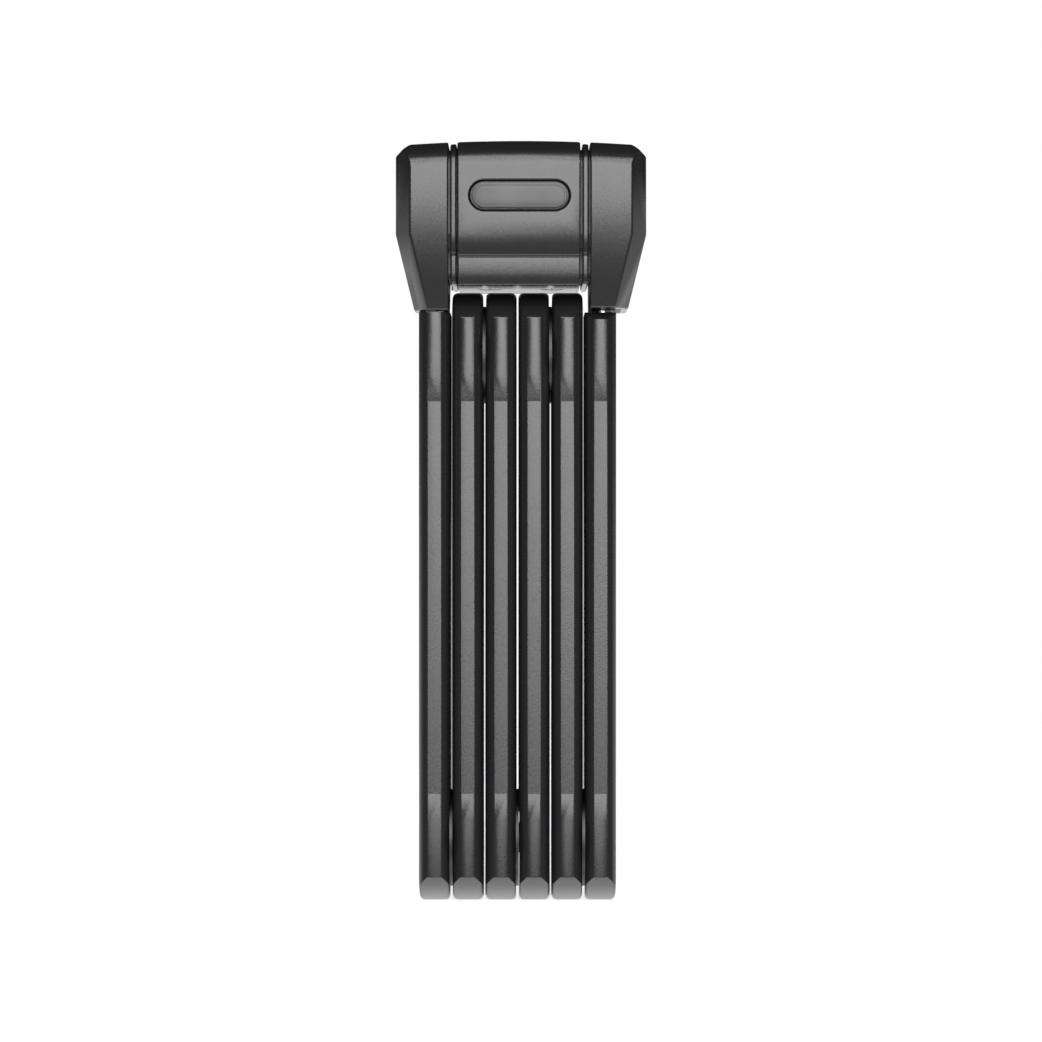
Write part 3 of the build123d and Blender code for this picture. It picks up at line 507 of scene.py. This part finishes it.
def dress(piece, material, node):
    """Give a new piece its finish, and let it stand for a CAD node on that node's body."""
    piece.data.materials.clear()
    piece.data.materials.append(material)
    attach(piece, BODY_OF[node])
    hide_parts(node)


def apply_place(piece):
    make_active(piece)
    bpy.ops.object.transform_apply(location=True, rotation=True, scale=True)


finishes = {}


# --- Operators ------------------------------------------------------------------------------------------
class LOCK_OT_finishes(bpy.types.Operator):
    """Make every material and put it on the CAD nodes"""

    bl_idname = "lock.finishes"
    bl_label = "Finishes"

    def execute(self, context):
        finishes.update(make_finishes(context.scene.lock_plastic))
        for node, piece in frame["nodes"].items():
            piece.data.materials.clear()
            piece.data.materials.append(finishes[SLOT_OF[node]])
        return {"FINISHED"}


class LOCK_OT_link_covers(bpy.types.Operator):
    """Moulded covers of the links, with crisp facets and smoothly shaded ends"""

    bl_idname = "lock.link_covers"
    bl_label = "Link covers"

    def execute(self, context):
        for node in LINKS:
            piece = merged_copy(node, node.replace("_cover", "_moulding"))
            make_active(piece)
            shade_smoothly(piece)
            dress(piece, finishes[SLOT_OF[node]], node)
        return {"FINISHED"}


class LOCK_OT_head_covers(bpy.types.Operator):
    """Softened covers and collars of the lock head"""

    bl_idname = "lock.head_covers"
    bl_label = "Head covers"

    def execute(self, context):
        for node in HEAD_COVERS:
            piece = merged_copy(node, node.replace("cover", "moulding").replace("collar", "ring"))
            soften(piece, context.scene.lock_edges.head_edge, angle=HEAD_RIDGE)
            dress(piece, finishes[SLOT_OF[node]], node)
        return {"FINISHED"}


class LOCK_OT_badge(bpy.types.Operator):
    """Badge with round ends, a raised rim and a gently domed plain field"""

    bl_idname = "lock.badge"
    bl_label = "Badge"

    def execute(self, context):
        sizes = context.scene.lock_badge
        low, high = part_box("badge")
        centre = middle("badge")
        deselect_everything()
        end_radius = (high.z - low.z) / 2
        straight = (high.x - low.x) / 2 - end_radius
        bpy.ops.mesh.primitive_circle_add(
            vertices=128, radius=end_radius, fill_type="NGON", location=(centre.x, high.y, centre.z),
            rotation=(math.radians(90), 0, 0),
        )
        piece = context.object
        piece.name = "badge_insert"
        apply_place(piece)
        bpy.ops.object.mode_set(mode="EDIT")
        for side in (-1, 1):
            select_vertices(piece, lambda point: (point.x - centre.x) * side > 0.01 * MM)
            bpy.ops.transform.translate(value=(side * straight, 0, 0))
        bpy.ops.mesh.select_all(action="SELECT")
        bpy.ops.mesh.extrude_region_move(TRANSFORM_OT_translate={"value": (0, low.y - high.y, 0)})
        bpy.ops.mesh.select_all(action="SELECT")
        bpy.ops.mesh.normals_make_consistent(inside=False)
        select_faces(piece, lambda face: face.normal.y < -0.9)
        bpy.ops.mesh.inset(thickness=0.12 * MM, depth=0.06 * MM)
        bpy.ops.mesh.inset(thickness=sizes.rim)
        bpy.ops.mesh.inset(thickness=0.08 * MM, depth=-sizes.step)
        field_rings = 6
        field_width = end_radius * 0.6 / field_rings
        for ring in range(field_rings):
            rise = sizes.dome * (math.cos(math.pi * ring / field_rings) + 1) / field_rings / 2
            bpy.ops.mesh.inset(thickness=field_width, depth=rise)
        bpy.ops.object.mode_set(mode="OBJECT")
        bpy.ops.object.shade_smooth_by_angle(angle=BADGE_SMOOTH_BELOW)
        dress(piece, finishes["badge_plastic"], "badge")
        return {"FINISHED"}


class LOCK_OT_locking_pin(bpy.types.Operator):
    """Polished locking pin with broken edges"""

    bl_idname = "lock.locking_pin"
    bl_label = "Locking pin"

    def execute(self, context):
        piece = merged_copy("locking_pin", "locking_pin_polished")
        soften(piece, context.scene.lock_edges.metal_edge)
        dress(piece, finishes["pin_chrome"], "locking_pin")
        return {"FINISHED"}


class LOCK_OT_rivets(bpy.types.Operator):
    """Rivets with a turned step and a shallow cup in each head"""

    bl_idname = "lock.rivets"
    bl_label = "Rivets"

    def execute(self, context):
        for node in RIVETS:
            low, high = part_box(node)
            centre = middle(node)
            head_radius = (high.z - low.z) / 2
            shank_radius = head_radius * SHANK_SHARE
            growth = head_radius / shank_radius
            deselect_everything()
            bpy.ops.mesh.primitive_cylinder_add(
                vertices=72, radius=shank_radius, depth=high.x - low.x - 2 * RIVET_HEAD_DEPTH,
                location=centre, rotation=(0, math.radians(90), 0),
            )
            piece = context.object
            piece.name = node + "_turned"
            apply_place(piece)
            bpy.ops.object.mode_set(mode="EDIT")
            for side in (-1, 1):
                select_faces(
                    piece, lambda face: face.normal.x * side > 0.9 and (face.center.x - centre.x) * side > 0,
                )
                bpy.ops.mesh.extrude_region_move()
                bpy.ops.transform.resize(value=(1, growth, growth))
                outwards = {"value": (side * RIVET_HEAD_DEPTH, 0, 0)}
                bpy.ops.mesh.extrude_region_move(TRANSFORM_OT_translate=outwards)
                for width, rise in RIVET_RINGS:
                    bpy.ops.mesh.inset(thickness=width * MM, depth=rise * MM)
            bpy.ops.object.mode_set(mode="OBJECT")
            soften(piece, context.scene.lock_edges.metal_edge)
            dress(piece, finishes["rivet_steel"], node)
        return {"FINISHED"}


class LOCK_OT_shutter(bpy.types.Operator):
    """Keyhole shutter with softened grip grooves"""

    bl_idname = "lock.shutter"
    bl_label = "Keyhole shutter"

    def execute(self, context):
        piece = merged_copy("keyhole_shutter", "keyhole_shutter_moulding")
        soften(piece, context.scene.lock_edges.metal_edge)
        dress(piece, finishes["shutter_plastic"], "keyhole_shutter")
        return {"FINISHED"}


class LOCK_OT_studio(bpy.types.Operator):
    """Pale floor, soft lights and the camera"""

    bl_idname = "lock.studio"
    bl_label = "Studio"

    def execute(self, context):
        studio = context.scene.lock_studio
        low, high = cad_bounds
        front = low[1]
        self.add_floor()
        self.add_surroundings(context.scene, studio)
        self.add_light(
            "front_light", place=(0.12, front - 1.45, 0.46), aim=(0, 0, 0.1), width=1.1, height=1.0,
            brightness=studio.front_light,
        )
        self.add_light(
            "band_light", place=(0.1, front - 1.0, 1.0), aim=(0, front, high[2]), width=1.5, height=0.25,
            brightness=studio.band_light,
        )
        camera = bpy.data.cameras.new("camera")
        camera.lens = studio.lens
        camera.sensor_width = 36.0
        camera.clip_start = 0.01
        holder = bpy.data.objects.new("camera", camera)
        holder.location = (0, front - studio.camera_distance, studio.camera_height)
        holder.rotation_euler = (math.radians(90), 0, 0)
        context.scene.collection.objects.link(holder)
        context.scene.camera = holder
        context.scene.view_settings.view_transform = "Standard"
        return {"FINISHED"}

    def add_floor(self):
        """White floor that fades out before its edge; the surroundings stand for its light."""
        deselect_everything()
        bpy.ops.mesh.primitive_circle_add(vertices=128, radius=1.1, fill_type="NGON", location=(0, 0, 0))
        floor = bpy.context.object
        floor.name = "floor"
        shader = Shader("floor_paper")
        east, north, _ = shader.axes()
        reach = (east * east + north * north) ** 0.5
        fade = shader.step(reach, 0.3, 1.0)
        paper = shader.node("ShaderNodeBsdfDiffuse", {}, {"Color": (0.9, 0.9, 0.9, 1.0)}, "BSDF")
        light = shader.node("ShaderNodeEmission", {}, {"Strength": 0.8}, "Emission")
        lit = shader.node("ShaderNodeAddShader", {}, {0: paper, 1: light})
        clear = shader.node("ShaderNodeBsdfTransparent", {}, {}, "BSDF")
        mixed = shader.node("ShaderNodeMixShader", {}, {0: fade, 1: lit, 2: clear})
        shader.tree.links.new(mixed.socket, shader.tree.nodes["Material Output"].inputs["Surface"])
        floor.data.materials.append(shader.material)
        floor.visible_glossy = False
        floor.visible_diffuse = False
        floor.visible_shadow = False

    def add_surroundings(self, scene, studio):
        """White as a backdrop; for light, glowing straight below, pale low behind and dim elsewhere."""
        world = bpy.data.worlds.new("studio")
        scene.world = world
        sky = Graph(world, "Generated")
        _, north, up = sky.axes()
        behind = sky.step(north, 0.0, 0.5)
        under = sky.step(up, -0.5, -0.97)
        low = studio.front_floor_glow + behind * (studio.back_floor_glow - studio.front_floor_glow)
        low = low + under * (studio.floor_glow - low)
        above = sky.step(up, -0.03, 0.02)
        around = low + above * (studio.room_glow - low)
        seen = sky.node("ShaderNodeLightPath", {}, {}, "Is Camera Ray")
        background = sky.tree.nodes["Background"]
        sky.feed(background.inputs["Strength"], around + seen * (1.0 - around))
        sky.feed(background.inputs["Color"], (1.0, 1.0, 1.0, 1.0))

    def add_light(self, name, place, aim, width, height, brightness):
        """Rectangular light of a given brightness, aimed at a point."""
        data = bpy.data.lights.new(name, "AREA")
        data.shape = "RECTANGLE"
        data.size = width
        data.size_y = height
        data.energy = brightness * math.pi * width * height
        light = bpy.data.objects.new(name, data)
        light.location = place
        light.rotation_euler = (Vector(aim) - Vector(place)).to_track_quat("-Z", "Y").to_euler()
        bpy.context.scene.collection.objects.link(light)


OPERATORS = (
    LOCK_OT_finishes,
    LOCK_OT_link_covers,
    LOCK_OT_head_covers,
    LOCK_OT_badge,
    LOCK_OT_locking_pin,
    LOCK_OT_rivets,
    LOCK_OT_shutter,
    LOCK_OT_studio,
)


class LOCK_PT_finishes(bpy.types.Panel):
    """Sizes, colours and steps of the folding lock's finishes"""

    bl_label = "Folding lock"
    bl_space_type = "VIEW_3D"
    bl_region_type = "UI"
    bl_category = "Folding lock"

    def draw(self, context):
        scene = context.scene
        for group in (scene.lock_edges, scene.lock_plastic, scene.lock_badge, scene.lock_studio):
            box = self.layout.box()
            for name in group.bl_rna.properties.keys():
                if name not in ("rna_type", "name"):
                    box.prop(group, name)
        for operator in OPERATORS:
            self.layout.operator(operator.bl_idname)


SETTINGS = {
    "lock_edges": LockEdges,
    "lock_plastic": LockPlastic,
    "lock_badge": LockBadge,
    "lock_studio": LockStudio,
}


def register():
    for group in SETTINGS.values():
        bpy.utils.register_class(group)
    for name, group in SETTINGS.items():
        setattr(bpy.types.Scene, name, bpy.props.PointerProperty(type=group))
    for item in (*OPERATORS, LOCK_PT_finishes):
        bpy.utils.register_class(item)


def unregister():
    for item in reversed((*OPERATORS, LOCK_PT_finishes)):
        bpy.utils.unregister_class(item)
    for name in SETTINGS:
        delattr(bpy.types.Scene, name)
    for group in reversed(SETTINGS.values()):
        bpy.utils.unregister_class(group)


def main():
    register()
    bpy.ops.lock.finishes()
    bpy.ops.lock.link_covers()
    bpy.ops.lock.head_covers()
    bpy.ops.lock.badge()
    bpy.ops.lock.locking_pin()
    bpy.ops.lock.rivets()
    bpy.ops.lock.shutter()
    bpy.ops.lock.studio()


if __name__ == "__main__":
    main()
